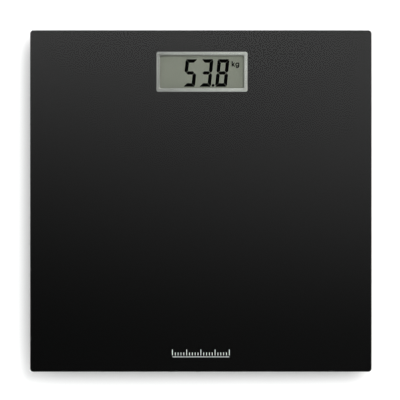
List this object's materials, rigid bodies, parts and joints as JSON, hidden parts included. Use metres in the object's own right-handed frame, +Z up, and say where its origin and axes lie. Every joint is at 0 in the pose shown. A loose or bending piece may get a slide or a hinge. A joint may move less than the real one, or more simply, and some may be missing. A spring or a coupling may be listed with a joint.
{
  "type": "digital bathroom scale",
  "caption": "Square black glass bathroom scale with a silver-framed liquid crystal display, load-cell feet, a unit button and a battery door underneath.",
  "frame": {"origin": "on the floor under the middle of the platform", "axes": "+Z up, +Y from the user's side to the display, +X to the user's right"},
  "size_m": [0.3, 0.3, 0.022],
  "materials": {
    "tempered_glass": "polished",
    "back_ink": "gloss, printed on the back of the glass",
    "silver_ink": "printed on the back of the glass",
    "foam_tape": "matt",
    "black_abs": "fine moulded grain",
    "silver_bezel": "satin silver",
    "lcd_film": "satin grey-green",
    "lcd_glass": "polished",
    "reflector_foil": "satin",
    "elastomer": "matt",
    "circuit_board": "solder mask",
    "component_body": "moulded",
    "epoxy": "cast",
    "zinc_screw": "zinc plated",
    "switch_body": "moulded",
    "button_grey": "fine moulded grain",
    "cell_can": "nickel plated",
    "contact_steel": "nickel plated",
    "load_cell_steel": "stamped, zinc plated",
    "silicone": "cast",
    "pad_rubber": "matt",
    "wire_red": "extruded",
    "wire_black": "extruded",
    "wire_white": "extruded"
  },
  "bodies": {
    "platform": {"glass_platform": "tempered_glass", "back_print": "back_ink", "printed_graduation": "silver_ink", "housing_tape": "foam_tape", "housing_frame": "black_abs", "display_bezel": "silver_bezel", "lcd_polariser": "lcd_film", "lcd_front_glass": "lcd_glass", "lcd_rear_glass": "lcd_glass", "lcd_reflector": "reflector_foil", "elastomer_connector": "elastomer", "lcd_support_strip": "foam_tape", "main_board": "circuit_board", "board_components": "component_body", "controller_blob": "epoxy", "board_screws": "zinc_screw", "tact_switch": "switch_body", "housing_cover": "black_abs", "cover_screws": "zinc_screw", "coin_cell": "cell_can", "contact_positive": "contact_steel", "contact_negative": "contact_steel", "foot_tapes": "foam_tape", "strain_gauges": "silicone", "sensor_wires_red": "wire_red", "sensor_wires_black": "wire_black", "sensor_wires_white": "wire_white", "foot_carrier_front_left": "black_abs", "load_cell_front_left": "load_cell_steel", "foot_cup_front_left": "black_abs", "foot_pad_front_left": "pad_rubber", "foot_screw_front_left": "zinc_screw", "wire_cover_front_left": "black_abs", "foot_carrier_front_right": "black_abs", "load_cell_front_right": "load_cell_steel", "foot_cup_front_right": "black_abs", "foot_pad_front_right": "pad_rubber", "foot_screw_front_right": "zinc_screw", "wire_cover_front_right": "black_abs", "foot_carrier_rear_left": "black_abs", "load_cell_rear_left": "load_cell_steel", "foot_cup_rear_left": "black_abs", "foot_pad_rear_left": "pad_rubber", "foot_screw_rear_left": "zinc_screw", "wire_cover_rear_left": "black_abs", "foot_carrier_rear_right": "black_abs", "load_cell_rear_right": "load_cell_steel", "foot_cup_rear_right": "black_abs", "foot_pad_rear_right": "pad_rubber", "foot_screw_rear_right": "zinc_screw", "wire_cover_rear_right": "black_abs"},
    "unit_button": {"unit_button": "button_grey", "switch_plunger": "switch_body"},
    "battery_door": {"battery_door": "black_abs"}
  },
  "joints": [
    {"name": "unit_button_press", "type": "slide", "parent": "platform", "child": "unit_button", "axis": [0, 0, 1], "range_m": [0, 0.0003], "stiffness_N_per_m": 5000},
    {"name": "battery_door_hinge", "type": "hinge", "parent": "platform", "child": "battery_door", "pos_m": [-0.017, 0.08675, 0.0054], "axis": [1, 0, 0], "range_deg": [0, 90]}
  ]
}
